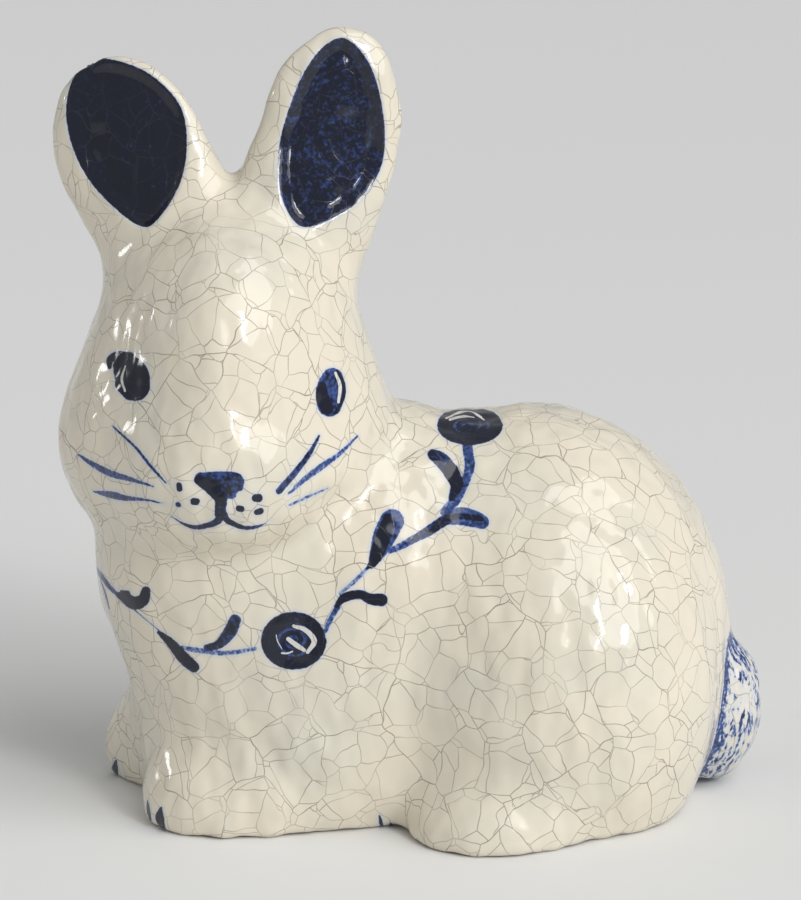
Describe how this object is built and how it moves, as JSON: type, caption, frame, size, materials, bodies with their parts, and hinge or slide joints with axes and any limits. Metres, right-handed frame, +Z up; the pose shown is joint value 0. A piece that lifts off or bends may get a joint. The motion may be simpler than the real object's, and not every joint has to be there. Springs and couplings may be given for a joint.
{
  "type": "ceramic rabbit figurine",
  "caption": "Sitting rabbit figurine in crackle-glazed white ceramic, hand-painted in cobalt blue with a leafy vine, hollow, with a drain hole in its foot.",
  "frame": {"origin": "on the flat foot, under the middle of the body", "axes": "+X towards the tail, -Y towards the side the rabbit looks to (its own left side), +Z up"},
  "size_m": [0.1382, 0.094, 0.1525],
  "materials": {
    "white_glaze": "glossy crackled clear glaze over cream white clay",
    "cobalt": "glossy, brushed cobalt blue under the glaze",
    "dark_cobalt": "glossy, near black cobalt under the glaze"
  },
  "bodies": {
    "root": {"body_shell": "white_glaze", "head_shell": "white_glaze", "ear_left": "white_glaze", "ear_right": "white_glaze", "forepaw_left": "white_glaze", "forepaw_right": "white_glaze", "hind_foot_left": "white_glaze", "hind_foot_right": "white_glaze", "tail": "white_glaze", "garland_vine_left": "cobalt", "garland_vine_right": "cobalt", "garland_leaves_left": "cobalt", "garland_leaves_right": "cobalt", "garland_rose_left": "cobalt", "garland_rose_right": "cobalt", "garland_rose_back": "cobalt", "tail_sponging": "cobalt", "whiskers_left": "cobalt", "whiskers_right": "cobalt", "muzzle_dots_left": "cobalt", "muzzle_dots_right": "cobalt", "mouth": "cobalt", "eye_left": "dark_cobalt", "eye_right": "dark_cobalt", "nose": "dark_cobalt", "ear_lining_left": "dark_cobalt", "ear_lining_right": "dark_cobalt", "claws_forepaw_left": "dark_cobalt", "claws_forepaw_right": "dark_cobalt", "claws_hind_left": "dark_cobalt", "claws_hind_right": "dark_cobalt"}
  },
  "joints": []
}
